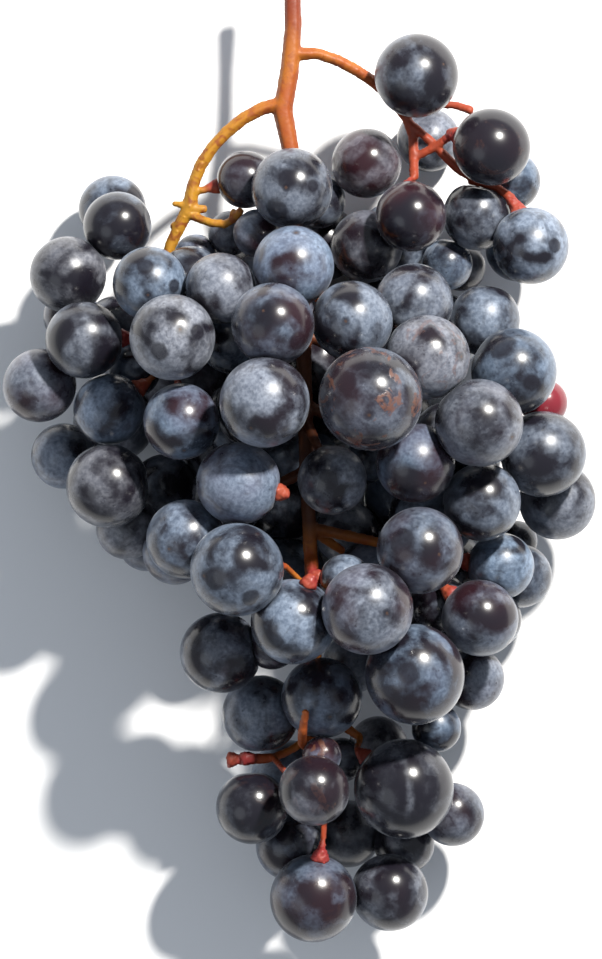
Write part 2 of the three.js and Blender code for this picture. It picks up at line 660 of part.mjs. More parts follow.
const bunch = new THREE.Group();
bunch.add(makeMesh(joined(stems.map((stem) => toSolid(makeTube(stem)))), 'stem', wood));
Object.keys(sprays).forEach((name) => {
  const mine = berries.filter((berry) => berry.spray === name);
  const balls = new Map(mine.map((berry) => (
    [berry, toSolid(berryGeometry(berry, pressingPlanes(berry, berries, stems)))])));
  const loose = mine.filter(({ holder }, k) => (
    holder && balls.get(mine[k]).intersect(balls.get(holder)).volume() < firmTouch));
  const necks = loose.map((berry) => toSolid(neckGeometry(berry)));
  bunch.add(makeMesh(joined([...balls.values(), ...necks]), name, skin));
});

const box = new THREE.Box3().setFromObject(bunch);
bunch.position.set(-(box.min.x + box.max.x) / 2, -(box.min.y + box.max.y) / 2, 0);

const group = new THREE.Group();
group.add(bunch);
export default group;
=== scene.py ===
import math

import bmesh
import bpy
import numpy as np
from mathutils import Matrix, Vector


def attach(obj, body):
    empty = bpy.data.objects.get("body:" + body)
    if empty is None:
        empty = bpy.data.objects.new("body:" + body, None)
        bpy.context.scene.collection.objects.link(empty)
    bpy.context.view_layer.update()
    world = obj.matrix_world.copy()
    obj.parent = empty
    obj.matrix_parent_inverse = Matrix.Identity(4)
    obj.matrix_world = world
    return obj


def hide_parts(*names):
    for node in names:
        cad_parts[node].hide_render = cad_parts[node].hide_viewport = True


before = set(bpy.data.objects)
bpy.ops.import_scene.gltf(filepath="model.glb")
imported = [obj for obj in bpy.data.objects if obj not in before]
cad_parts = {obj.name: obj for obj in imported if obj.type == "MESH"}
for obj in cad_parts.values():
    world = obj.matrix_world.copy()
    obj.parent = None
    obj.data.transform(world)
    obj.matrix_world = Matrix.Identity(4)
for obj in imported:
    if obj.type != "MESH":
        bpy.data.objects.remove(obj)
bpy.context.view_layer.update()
mm = 0.001
tiny = 1e-9

# How the single berries are found again in the solids: most corners of a berry lie on one ball
reading = {
    "mergeWithin": 0.02 * mm,
    "creaseAngle": 0.9,
    "fewestCorners": 10,
    "cornerSwell": 1.03,
    "attempts": 90,
    "nearby": 16,
    "picked": 5,
    "claimed": 1.01,
    "smallest": 4 * mm,
    "largest": 12 * mm,
    "slack": 0.02 * mm,
    "sameWithin": 1 * mm,
    "seed": 11,
}


def mergedCopy(nodeName):
    shape = bmesh.new()
    shape.from_mesh(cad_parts[nodeName].data)
    bmesh.ops.remove_doubles(shape, verts=shape.verts, dist=reading["mergeWithin"])
    return shape


def isCrease(edge):
    if len(edge.link_faces) != 2:
        return True
    return not edge.is_convex and edge.calc_face_angle(0) > reading["creaseAngle"]


def faceIslands(shape):
    waiting = set(shape.faces)
    islands = []
    for first in shape.faces:
        if first not in waiting:
            continue
        waiting.remove(first)
        island, border = [], [first]
        while border:
            face = border.pop()
            island.append(face)
            for edge in face.edges:
                if isCrease(edge):
                    continue
                for other in edge.link_faces:
                    if other in waiting:
                        waiting.remove(other)
                        border.append(other)
        islands.append(island)
    return islands


def ballThrough(points):
    rows = np.hstack([2 * points, np.ones((len(points), 1))])
    solution = np.linalg.lstsq(rows, (points ** 2).sum(axis=1), rcond=None)[0]
    centre = solution[:3]
    return centre, math.sqrt(max(solution[3] + centre @ centre, 0))


def onBall(points, centre, reach):
    return np.abs(np.linalg.norm(points - centre, axis=1) - reach) < reading["slack"]


def largestBall(points, chance):
    best = np.zeros(len(points), bool)
    for attempt in range(reading["attempts"]):
        start = points[chance.integers(len(points))]
        around = np.argsort(np.linalg.norm(points - start, axis=1))[:reading["nearby"]]
        picked = chance.choice(around, reading["picked"], replace=False)
        near = onBall(points, *ballThrough(points[picked]))
        if near.sum() < reading["picked"]:
            continue
        centre, reach = ballThrough(points[near])
        near = onBall(points, centre, reach)
        if reading["smallest"] < reach < reading["largest"] and near.sum() > best.sum():
            best = near
    return best


def ballsAmong(points, chance):
    balls = []
    while len(points) >= reading["fewestCorners"]:
        near = largestBall(points, chance)
        if near.sum() < reading["fewestCorners"]:
            break
        centre, reach = ballThrough(points[near])
        points = points[np.linalg.norm(points - centre, axis=1) > reach * reading["claimed"]]
        balls.append((centre, reach))
    return balls


def isNew(centre, found):
    return all(np.linalg.norm(centre - berry["centre"]) > reading["sameWithin"] for berry in found)


def readBerries():
    chance = np.random.default_rng(reading["seed"])
    found = []
    for nodeName in sorted(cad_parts):
        if nodeName == "stem":
            continue
        shape = mergedCopy(nodeName)
        for island in faceIslands(shape):
            corners = {corner.index: corner for face in island for corner in face.verts}
            points = np.array([corners[index].co[:] for index in sorted(corners)])
            for centre, reach in ballsAmong(points, chance):
                if isNew(centre, found):
                    radius = reach / reading["cornerSwell"]
                    found.append({"node": nodeName, "centre": centre, "radius": radius})
        shape.free()
    found.sort(key=lambda berry: (berry["node"], tuple(np.round(berry["centre"], 5))))
    return found


berries = readBerries()
for number, berry in enumerate(berries):
    berry["number"] = number
print("berries read from the solids:", len(berries))

# Where each stalk meets its berry: faces of the stem that look straight at the berry's middle
meeting = {"nearest": 0.93, "furthest": 1.13, "facing": 0.95, "leastArea": 1.5 * mm * mm, "upwards": 0.5}


def stemFaces():
    shape = mergedCopy("stem")
    shape.normal_update()
    places = np.array([face.calc_center_median()[:] for face in shape.faces])
    normals = np.array([face.normal[:] for face in shape.faces])
    areas = np.array([face.calc_area() for face in shape.faces])
    corners = np.array([corner.co[:] for corner in shape.verts])
    shape.free()
    return places, normals, areas, corners


def findStalks():
    places, normals, areas, corners = stemFaces()
    for berry in berries:
        toMiddle = berry["centre"] - places
        distance = np.linalg.norm(toMiddle, axis=1)
        facing = (normals * toMiddle).sum(axis=1) / np.maximum(distance, tiny)
        near = distance > berry["radius"] * meeting["nearest"]
        near &= distance < berry["radius"] * meeting["furthest"]
        near &= facing > meeting["facing"]
        berry["hasStalk"] = areas[near].sum() > meeting["leastArea"]
        if berry["hasStalk"]:
            direction = -(toMiddle[near] * areas[near][:, None]).sum(axis=0)
        else:
            closest = corners[np.argmin(np.linalg.norm(corners - berry["centre"], axis=1))]
            direction = closest - berry["centre"]
            direction = direction / np.linalg.norm(direction) + np.array([0, meeting["upwards"], 0])
        berry["stalk"] = direction / np.linalg.norm(direction)
    return corners


stemCorners = findStalks()
print("berries with a stalk:", sum(berry["hasStalk"] for berry in berries))

# The fine form of a berry, in shares of its radius
berryForm = {
    "divisions": 5,
    "oval": 0.025,
    "ovalRange": (-0.4, 1),
    "lumps": 0.008,
    "lumpCount": 6,
    "lumpSharpness": 3,
    "mostSwell": 1.02,
    "dimpleDepth": 0.06,
    "dimpleSpread": 0.3,
    "tipDepth": 0.012,
    "tipSpread": 0.1,
    "softness": 0.05,
    "gap": 0.03 * mm,
    "reachForNeighbours": 0.2 * mm,
    "contactWidth": 0.16,
    "leastLean": 0.2,
    "ownEnd": 0.9,
    "patternSpread": 200,
    "seed": 23,
}

# A direction that no stalk follows, to turn each berry's pattern about its stalk
asideWay = np.array([0.31, 0.17, 0.93])


def softLeast(first, second, width):
    share = np.clip(0.5 + 0.5 * (second - first) / width, 0, 1)
    return second * (1 - share) + first * share - width * share * (1 - share)


def turnTo(axis):
    side = np.cross(axis, asideWay)
    side /= np.linalg.norm(side)
    return np.stack([side, np.cross(axis, side), axis], axis=1)


def neighbourPlanes(berry):
    planes = []
    for other in berries:
        if other is berry:
            continue
        across = other["centre"] - berry["centre"]
        distance = np.linalg.norm(across)
        touching = berry["radius"] + other["radius"] + berryForm["reachForNeighbours"]
        if distance > touching:
            continue
        share = distance ** 2 + berry["radius"] ** 2 - other["radius"] ** 2
        planes.append((across / distance, share / (2 * distance) - berryForm["gap"]))
    return planes


def stemPlanes(berry):
    away = stemCorners - berry["centre"]
    distance = np.linalg.norm(away, axis=1)
    ownEnd = (away @ berry["stalk"]) / np.maximum(distance, tiny) > berryForm["ownEnd"]
    inside = (distance < berry["radius"]) & ~(ownEnd & berry["hasStalk"])
    return [(away[k] / distance[k], distance[k] - berryForm["gap"]) for k in np.flatnonzero(inside)]


def lumps(directions, chance):
    total = np.zeros(len(directions))
    sharpness = berryForm["lumpSharpness"]
    for lump in range(berryForm["lumpCount"]):
        middle = chance.normal(size=3)
        middle /= np.linalg.norm(middle)
        total += chance.uniform(-1, 1) * np.exp(sharpness * (directions @ middle - 1))
    return total


def shapeBerry(berry, directions, chance):
    radius = berry["radius"]
    along = directions @ berry["stalk"]
    swell = 1 + berryForm["oval"] * chance.uniform(*berryForm["ovalRange"]) * (along ** 2 - 0.5)
    swell += berryForm["lumps"] * lumps(directions, chance)
    turned = np.arccos(np.clip(along, -1, 1))
    swell -= berryForm["dimpleDepth"] * np.exp(-((turned / berryForm["dimpleSpread"]) ** 2))
    swell -= berryForm["tipDepth"] * np.exp(-(((math.pi - turned) / berryForm["tipSpread"]) ** 2))
    reach = radius * np.minimum(swell, berryForm["mostSwell"])
    contact = np.zeros(len(directions))
    planes = neighbourPlanes(berry) + stemPlanes(berry)
    planes.append((np.array([0, 0, -1.0]), berry["centre"][2]))
    for normal, height in planes:
        lean = directions @ normal
        towards = lean > berryForm["leastLean"]
        limit = np.full(len(directions), 2 * radius)
        limit[towards] = height / lean[towards]
        near = 1 - (limit - reach) / (berryForm["contactWidth"] * radius)
        contact = np.maximum(contact, np.clip(near, 0, 1))
        reach = softLeast(reach, limit, berryForm["softness"] * radius)
    return reach[:, None] * directions, along, contact


def addPiece(name, shape):
    mesh = bpy.data.meshes.new(name)
    shape.to_mesh(mesh)
    shape.free()
    mesh.polygons.foreach_set("use_smooth", np.ones(len(mesh.polygons), bool))
    piece = bpy.data.objects.new(name, mesh)
    bpy.context.scene.collection.objects.link(piece)
    return piece


def readPoints(piece):
    points = np.empty(3 * len(piece.data.vertices))
    piece.data.vertices.foreach_get("co", points)
    return points.reshape(-1, 3)


def movePoints(piece, points):
    piece.data.vertices.foreach_set("co", np.asarray(points, np.float32).ravel())
    piece.data.update()


def addAttribute(piece, name, kind, values):
    attribute = piece.data.attributes.new(name, kind, "POINT")
    field = {"FLOAT_VECTOR": "vector", "FLOAT_COLOR": "color", "FLOAT": "value"}[kind]
    attribute.data.foreach_set(field, np.asarray(values, np.float32).ravel())


# How much the berries differ, and how near in mm a berry lies to a place in the two lists below
toneForm = {
    "leastBloom": 0.35,
    "bloomRange": 0.6,
    "bloomShape": (2, 1.6),
    "red": (0.1, 0.16),
    "nearPlace": 3.5,
    "lowestPlace": 20 * mm,
    "nearSpot": 2.5,
    "lowestSpot": 15 * mm,
    "spotEdge": 1.5,
}

# Berries that stand out in the photograph: place on the face in mm, bloom, red, scars
standingOut = [
    (13.9, 8.6, 0.4, 0.25, 1.0),
    (38.0, 58.8, 0.02, 0.1, 0.2),
    (22.0, 44.9, 0.12, 0.5, 0.0),
    (13.4, 55.8, 0.5, 0.5, 0.0),
    (-12.7, 52.7, 0.3, 0.25, 0.0),
    (20.3, -69.7, 0.33, 0.0, 0.0),
    (-11.1, -73.7, 0.42, 0.0, 0.1),
    (2.9, -68.7, 0.45, 0.25, 0.2),
    (31.5, -75.7, 0.45, 0.0, 0.0),
    (21.6, -65.9, 0.3, 0.15, 0.0),
    (36.9, -31.7, 0.5, 0.3, 0.2),
    (-5.4, 23.1, 0.45, 0.35, 0.0),
    (2.3, -92.2, 0.4, 0.3, 0.1),
    (3.5, -60.7, 0.9, 0.8, 1.0),
    (51.1, 8.3, 0.2, 1.0, 0.0),
    (-1.6, 50.5, 0.6, 0.0, 0.0),
    (23.1, 73.5, 0.5, 0.05, 0.0),
    (45.9, 39.2, 0.95, 0.0, 0.0),
    (25.3, 16.5, 0.85, 0.1, 0.5),
    (17.5, -91.0, 0.7, 0.1, 0.0),
]


# Spots where the bloom is rubbed off: place of the berry, way from its middle as shares, radius in mm
rubbedSpots = [
    (6.0, -7.6, -0.1, 0.0, 2.1),
    (-1.7, 50.4, -0.12, 0.22, 2.0), (-1.7, 50.4, 0.52, 0.05, 1.3), (-1.7, 50.4, -0.35, -0.55, 2.6),
    (23.2, 73.3, 0.32, -0.3, 1.4), (23.2, 73.3, 0.68, -0.5, 1.8), (23.2, 73.3, -0.35, -0.6, 3.0),
    (46.1, 39.2, 0.6, 0.0, 1.5),
    (-43.3, 20.2, -0.55, 0.2, 2.6), (-43.3, 20.2, 0.5, -0.6, 2.6),
    (-30.1, 31.4, -0.12, 0.45, 1.8), (-30.1, 31.4, 0.68, -0.1, 1.5),
    (-36.8, 43.3, -0.4, -0.3, 1.9), (-36.8, 43.3, 0.45, 0.2, 1.3), (-36.8, 43.3, -0.1, 0.6, 1.5),
    (22.8, -46.6, -0.15, 0.05, 2.4), (22.8, -46.6, -0.5, -0.4, 2.4),
    (-1.4, -36.0, 0.3, 0.35, 1.8), (-1.4, -36.0, -0.5, -0.4, 2.4),
    (17.9, -90.8, -0.1, 0.35, 2.6), (17.9, -90.8, 0.4, -0.5, 2.0),
    (-25.5, 20.6, -0.3, -0.35, 1.9), (-25.5, 20.6, 0.6, 0.1, 1.6),
    (42.7, 14.0, -0.3, 0.55, 3.0), (42.7, 14.0, 0.4, -0.3, 1.8),
    (23.8, -21.8, -0.45, 0.2, 3.0),
    (-12.6, -25.6, -0.5, -0.2, 2.4), (-12.6, -25.6, 0.3, -0.6, 2.0),
    (20.7, -69.7, -0.5, 0.3, 3.6), (20.7, -69.7, 0.3, -0.6, 3.0),
    (-5.5, 23.1, 0.1, 0.3, 3.0), (-5.5, 23.1, 0.6, -0.4, 2.2),
]


def apartFrom(berry, x, y):
    return math.hypot(berry["centre"][0] / mm - x, berry["centre"][1] / mm - y)


def spotShare(berry, directions):
    share = np.zeros(len(directions))
    if berry["centre"][2] < toneForm["lowestSpot"]:
        return share
    for x, y, right, up, radius in rubbedSpots:
        if apartFrom(berry, x, y) > toneForm["nearSpot"]:
            continue
        middle = np.array([right, up, math.sqrt(1 - right ** 2 - up ** 2)])
        away = np.arccos(np.clip(directions @ middle, -1, 1)) * berry["radius"] / mm
        share = np.maximum(share, np.clip(toneForm["spotEdge"] - away / radius, 0, 1))
    return share


def berryTone(berry, chance):
    bloom = toneForm["leastBloom"] + toneForm["bloomRange"] * chance.beta(*toneForm["bloomShape"])
    red = max(0, chance.normal(*toneForm["red"]))
    scar = 0
    isHigh = berry["centre"][2] > toneForm["lowestPlace"]
    for x, y, ownBloom, ownRed, ownScar in standingOut:
        if isHigh and apartFrom(berry, x, y) < toneForm["nearPlace"]:
            bloom, red, scar = ownBloom, ownRed, ownScar
    return bloom, min(red, 1), scar


def buildSpray(nodeName):
    own = [berry for berry in berries if berry["node"] == nodeName]
    shape = bmesh.new()
    for berry in own:
        place = Matrix.Translation(Vector(berry["centre"]))
        divisions = berryForm["divisions"]
        bmesh.ops.create_icosphere(shape, subdivisions=divisions, radius=berry["radius"], matrix=place)
    piece = addPiece("fine_" + nodeName, shape)
    points = readPoints(piece).reshape(len(own), -1, 3)
    places, tones, marks = [], [], []
    spread = berryForm["patternSpread"]
    for ball, berry in zip(points, own):
        chance = np.random.default_rng(berryForm["seed"] + berry["number"])
        directions = (ball - berry["centre"]) / berry["radius"]
        directions /= np.linalg.norm(directions, axis=1)[:, None]
        moved, along, contact = shapeBerry(berry, directions, chance)
        ball[:] = moved + berry["centre"]
        bloom, red, scar = berryTone(berry, chance)
        count = len(directions)
        places.append(moved @ turnTo(berry["stalk"]) / mm + chance.uniform(-spread, spread, 3))
        tone = np.full(count, bloom), np.full(count, red), 0.5 + 0.5 * along, contact
        tones.append(np.stack(tone, axis=1))
        mark = np.tile([scar, chance.uniform(), chance.uniform(), 0], (count, 1))
        mark[:, 3] = spotShare(berry, directions)
        marks.append(mark)
    movePoints(piece, points)
    addAttribute(piece, "skinPlace", "FLOAT_VECTOR", np.concatenate(places))
    addAttribute(piece, "skinTone", "FLOAT_COLOR", np.concatenate(tones))
    addAttribute(piece, "skinMarks", "FLOAT_COLOR", np.concatenate(marks))
    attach(piece, "root")
    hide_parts(nodeName)
    return piece


class Wire:
    def __init__(self, board, socket):
        self.board = board
        self.socket = socket

    def maths(self, operation, *values):
        return self.board.add("ShaderNodeMath", {"operation": operation}, dict(enumerate(values)))

    def __add__(self, other):
        return self.maths("ADD", self, other)

    def __sub__(self, other):
        return self.maths("SUBTRACT", self, other)

    def __rsub__(self, other):
        return self.maths("SUBTRACT", other, self)

    def __mul__(self, other):
        return self.maths("MULTIPLY", self, other)

    __radd__ = __add__
    __rmul__ = __mul__

    def power(self, exponent):
        return self.maths("POWER", self, exponent)

    def partly(self, share):
        return (1 - share) + self * share

    def ramp(self, low, high, first=0.0, last=1.0):
        settings = {"interpolation_type": "SMOOTHSTEP"}
        links = {0: self, 1: low, 2: high, 3: first, 4: last}
        return self.board.add("ShaderNodeMapRange", settings, links)


class Board:
    def __init__(self, name):
        self.material = bpy.data.materials.new(name)
        self.material.use_nodes = True
        self.tree = self.material.node_tree
        self.tree.nodes.clear()

    def add(self, kind, settings=None, links=None, output=0):
        node = self.tree.nodes.new(kind)
        for name, value in (settings or {}).items():
            setattr(node, name, value)
        for name, value in (links or {}).items():
            if isinstance(value, Wire):
                self.tree.links.new(value.socket, node.inputs[name])
            else:
                node.inputs[name].default_value = value
        return Wire(self, node.outputs[output]) if len(node.outputs) else node

    def attribute(self, name, output):
        return self.add("ShaderNodeAttribute", {"attribute_name": name}, output=output)

    def split(self, colour):
        node = self.add("ShaderNodeSeparateColor", links={0: colour}).socket.node
        return [Wire(self, node.outputs[place]) for place in range(3)]

    def mix(self, factor, first, second):
        links = {0: factor, 6: first, 7: second}
        return self.add("ShaderNodeMix", {"data_type": "RGBA"}, links, 2)

    def noise(self, place, scale, detail=2.0, roughness=0.5, distortion=0.0):
        links = {"Vector": place, "Scale": scale, "Detail": detail, "Roughness": roughness}
        links["Distortion"] = distortion
        return self.add("ShaderNodeTexNoise", links=links)

    def cells(self, place, scale, output="Distance"):
        return self.add("ShaderNodeTexVoronoi", links={"Vector": place, "Scale": scale}, output=output)

    def bump(self, height, strength, distance):
        links = {"Height": height, "Strength": strength, "Distance": distance}
        return self.add("ShaderNodeBump", links=links)

    def finish(self, links):
        surface = self.add("ShaderNodeBsdfPrincipled", links=links)
        self.add("ShaderNodeOutputMaterial", links={"Surface": surface})
        return self.material


# Patterns of the skin: scales for each millimetre, the two ends of each soft edge, and how much each does
skinForm = {
    "cloudScale": 0.11,
    "patchScale": 0.3,
    "dustScale": 1.1,
    "grainScale": 5,
    "wipeScale": 0.7,
    "wipeStretch": (1, 0.9, 0.2),
    "wipeEdge": (0.58, 0.7),
    "discScale": 0.095,
    "discEdge": (0.13, 0.38),
    "speckScale": 0.4,
    "speckEdge": (0.06, 0.13),
    "bloomEdge": (0.05, 1.2),
    "spotEdge": (0.25, 0.75),
    "tipEdge": (0.0006, 0.005),
    "contactEdge": (0.55, 1),
    "redScale": 0.1,
    "redEdge": (0.4, 0.72),
    "unripeEdge": (0.9, 1),
    "dustEdge": (-0.2, 0.2),
    "scarScale": 0.2,
    "scarEdge": (0.56, 0.64),
    "scarDust": (-0.2, 0.05),
    "endEdge": (0.0001, 0.0011),
    "cloudWeight": 3.6,
    "patchWeight": 1.2,
    "dustWeight": 0.2,
    "berryWeight": 0.9,
    "discDepth": 0.45,
    "speckDepth": 0.5,
    "wipeDepth": 0.35,
    "spotDepth": 0.85,
    "tipDepth": 0.7,
    "contactDepth": 0.5,
    "berryDepth": 0.8,
    "plumShare": 0.5,
    "scarShare": 0.8,
    "bumpStrength": 0.25,
    "bumpDepth": 0.08 * mm,
}
skinColours = {
    "black": (0.0075, 0.0065, 0.0105, 1),
    "burgundy": (0.036, 0.0075, 0.01, 1),
    "unripe": (0.15, 0.014, 0.022, 1),
    "thinBlue": (0.086, 0.126, 0.19, 1),
    "thickBlue": (0.168, 0.226, 0.312, 1),
    "thinGrey": (0.113, 0.12, 0.145, 1),
    "thickGrey": (0.22, 0.228, 0.258, 1),
    "plum": (0.13, 0.095, 0.14, 1),
    "scar": (0.1, 0.033, 0.015, 1),
    "end": (0.055, 0.03, 0.02, 1),
}


# How thick the waxy bloom lies: in clouds, rubbed off in discs, specks, streaks and named spots
def makeBloom(board, place, bloomShare, axis):
    form = skinForm
    contact = board.attribute("skinTone", "Alpha")
    spot = board.attribute("skinMarks", "Alpha")
    cloud = board.noise(place, form["cloudScale"], 1, 0.5, 0.8) - 0.5
    patch = board.noise(place, form["patchScale"], 3, 0.55, 0.5) - 0.5
    dust = board.noise(place, form["dustScale"], 4, 0.6) - 0.5
    grain = board.noise(place, form["grainScale"], 2, 0.6) - 0.5
    long = board.add("ShaderNodeVectorMath", {"operation": "MULTIPLY"}, {0: place, 1: form["wipeStretch"]})
    wipe = board.noise(long, form["wipeScale"], 3, 0.6, 0.4).ramp(*form["wipeEdge"])
    disc = (board.cells(place, form["discScale"]) + patch * 0.4 + dust * 0.1).ramp(*form["discEdge"])
    speck = board.cells(place, form["speckScale"]).ramp(*form["speckEdge"])
    covered = cloud * form["cloudWeight"] + patch * form["patchWeight"]
    covered = covered + dust * form["dustWeight"] + bloomShare * form["berryWeight"]
    bloom = covered.ramp(*form["bloomEdge"]) * disc.partly(form["discDepth"])
    bloom = bloom * speck.partly(form["speckDepth"]) * (1 - wipe * form["wipeDepth"])
    bloom = bloom * (1 + dust * 0.3 + grain * 0.15)
    bloom = bloom * (1 - (spot + patch * 0.9).ramp(*form["spotEdge"]) * form["spotDepth"])
    bloom = bloom * axis.ramp(*form["tipEdge"]).partly(form["tipDepth"])
    bloom = bloom * (1 - contact.ramp(*form["contactEdge"]) * form["contactDepth"])
    return bloom * bloomShare.partly(form["berryDepth"]), dust, grain


def makeSkin():
    board = Board("grape skin")
    form, colours = skinForm, skinColours
    place = board.attribute("skinPlace", "Vector")
    bloomShare, red, axis = board.split(board.attribute("skinTone", "Color"))
    scarShare, grey, dull = board.split(board.attribute("skinMarks", "Color"))
    bloom, dust, grain = makeBloom(board, place, bloomShare, axis)
    redPatch = board.noise(place, form["redScale"], 1, 0.5) + red * 0.3
    redPart = red * redPatch.ramp(*form["redEdge"])
    bare = board.mix(redPart, colours["black"], colours["burgundy"])
    bare = board.mix(red.ramp(*form["unripeEdge"]), bare, colours["unripe"])
    thick = dust.ramp(*form["dustEdge"])
    blueWax = board.mix(thick, colours["thinBlue"], colours["thickBlue"])
    greyWax = board.mix(thick, colours["thinGrey"], colours["thickGrey"])
    wax = board.mix(grey, blueWax, greyWax)
    wax = board.mix(redPart * form["plumShare"], wax, colours["plum"])
    colour = board.mix(bloom, bare, wax)
    scar = board.noise(place, form["scarScale"], 3, 0.55, 1.4).ramp(*form["scarEdge"])
    scar = scar * dust.ramp(*form["scarDust"]) * scarShare
    colour = board.mix(scar * form["scarShare"], colour, colours["scar"])
    colour = board.mix(axis.ramp(*form["endEdge"]), colours["end"], colour)
    height = dust * 0.5 + grain * 0.25 + scar * 1.5
    return board.finish({
        "Base Color": colour,
        "Roughness": 0.2 + bloom * 0.2 + dull * 0.06 + scar * 0.3,
        "IOR": 1.47,
        "Coat Weight": 0.1,
        "Coat Roughness": 0.08,
        "Sheen Weight": 0.1,
        "Sheen Roughness": 0.35,
        "Sheen Tint": (0.8, 0.88, 1.0, 1),
        "Normal": board.bump(height, form["bumpStrength"], form["bumpDepth"]),
    })


skin = makeSkin()
for nodeName in sorted(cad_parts):
    if nodeName != "stem":
        spray = buildSpray(nodeName)
        spray.data.materials.append(skin)
print("fine berries made")

# The stem: the solid's own form, rounded, thickened a little and with a warty cup under each berry
stemForm = {
    "voxel": 0.36 * mm,
    "smoothing": 5,
    "thicken": 0.26 * mm,
    "cupRadius": 1.9 * mm,
    "cupNeck": 0.75 * mm,
    "cupLength": 2.4 * mm,
    "cupSides": 14,
    "fullBerry": 7 * mm,
    "wart": 0.2 * mm,
    "wartsNearCup": 1.5,
    "wartsFade": 4,
    "fewestWarts": 0.15,
    "smoothLeft": 0.8,
    "sunkCup": 0.95,
}

# Where the stem's colours change, with a band of painted shade that darkens the stem deep inside the
# bunch: the shares rise from the first place to the second, in mm
stemZones = {
    "cutEnd": (76, 88),
    "above": (28, 34),
    "left": (-3, -19),
    "right": (14, 22),
    "tail": (-61, -65),
    # The band of painted shade on the stem where it runs deep among the berries, between these heights in
    # y
    "paintedShadeFrom": (25, 20),
    "paintedShadeTo": (-21, -16),
    "nearCup": (4.2, 1.8),
}

# Ends that have lost their berries: place of the wide end in mm, way back along the stem, size
bareEnds = [
    {"place": (-14.6, -63.9, 25.0), "toward": (1, 0.05, 0.05), "size": 0.85},
    {"place": (-11.6, -63.7, 25.4), "toward": (1, 0.1, 0.1), "size": 0.75},
]


def addCup(shape, foot, toward, size):
    middle = foot + toward * stemForm["cupLength"] / 2
    turn = toward.to_track_quat("Z", "Y").to_matrix().to_4x4()
    bmesh.ops.create_cone(
        shape,
        cap_ends=True,
        segments=stemForm["cupSides"],
        radius1=stemForm["cupRadius"] * size,
        radius2=stemForm["cupNeck"],
        depth=stemForm["cupLength"],
        matrix=Matrix.Translation(middle) @ turn,
    )


def roundedOff(shape):
    rough = addPiece("rough stem", shape)
    remesh = rough.modifiers.new("closed skin", "REMESH")
    remesh.mode = "VOXEL"
    remesh.voxel_size = stemForm["voxel"]
    mesh = bpy.data.meshes.new_from_object(rough.evaluated_get(bpy.context.evaluated_depsgraph_get()))
    bpy.data.objects.remove(rough)
    shape = bmesh.new()
    shape.from_mesh(mesh)
    bpy.data.meshes.remove(mesh)
    for sweep in range(stemForm["smoothing"]):
        axes = {"use_axis_x": True, "use_axis_y": True, "use_axis_z": True}
        bmesh.ops.smooth_vert(shape, verts=shape.verts, factor=0.5, **axes)
    bmesh.ops.triangulate(shape, faces=shape.faces)
    return shape


def distanceToCups(points):
    nearest = np.full(len(points), 99.0)
    for berry in berries:
        if berry["hasStalk"]:
            end = berry["centre"] + berry["stalk"] * berry["radius"]
            nearest = np.minimum(nearest, np.linalg.norm(points - end, axis=1) / mm)
    for end in bareEnds:
        nearest = np.minimum(nearest, np.linalg.norm(points / mm - end["place"], axis=1))
    return nearest


def rising(values, zone):
    start, end = stemZones[zone]
    return np.clip((values - start) / (end - start), 0, 1)


# Uneven waves that cross each other
def wartPattern(x, y, z):
    return np.sin(x * 4.1 + np.sin(y * 2.3)) * np.sin(y * 3.7 + 1) * np.sin(z * 4.3 + np.sin(x * 2.9))


def buildStem():
    shape = mergedCopy("stem")
    for berry in berries:
        if berry["hasStalk"]:
            toward = Vector(berry["stalk"])
            foot = Vector(berry["centre"]) + toward * stemForm["sunkCup"] * berry["radius"]
            addCup(shape, foot, toward, min(1, berry["radius"] / stemForm["fullBerry"]))
    for end in bareEnds:
        addCup(shape, Vector(end["place"]) * mm, Vector(end["toward"]).normalized(), end["size"])
    bmesh.ops.recalc_face_normals(shape, faces=shape.faces)
    shape = roundedOff(shape)
    shape.normal_update()
    normals = np.array([corner.normal[:] for corner in shape.verts])
    piece = addPiece("fine_stem", shape)
    points = readPoints(piece)
    nearCup = distanceToCups(points)
    x, y, z = points.T / mm
    yellow = rising(x, "left") * rising(y, "above")
    warts = np.clip(stemForm["wartsNearCup"] - nearCup / stemForm["wartsFade"], stemForm["fewestWarts"], 1)
    warts *= wartPattern(x, y, z) * (1 - yellow * stemForm["smoothLeft"])
    swell = stemForm["thicken"] + stemForm["wart"] * warts
    points = points + normals * swell[:, None]
    points[:, 2] = np.maximum(points[:, 2], 0)
    movePoints(piece, points)
    brown = rising(y, "cutEnd")
    coral = np.maximum(rising(x, "right") * rising(y, "above"), rising(y, "tail"))
    cup = rising(nearCup, "nearCup")
    # Painted shade: the stem is darkened where it runs deep among the berries
    inside = rising(y, "paintedShadeFrom") * rising(y, "paintedShadeTo")
    addAttribute(piece, "stemTone", "FLOAT_COLOR", np.stack([brown, yellow, coral, cup], axis=1))
    addAttribute(piece, "stemPaintedShade", "FLOAT", inside)
    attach(piece, "root")
    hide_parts("stem")
    return piece


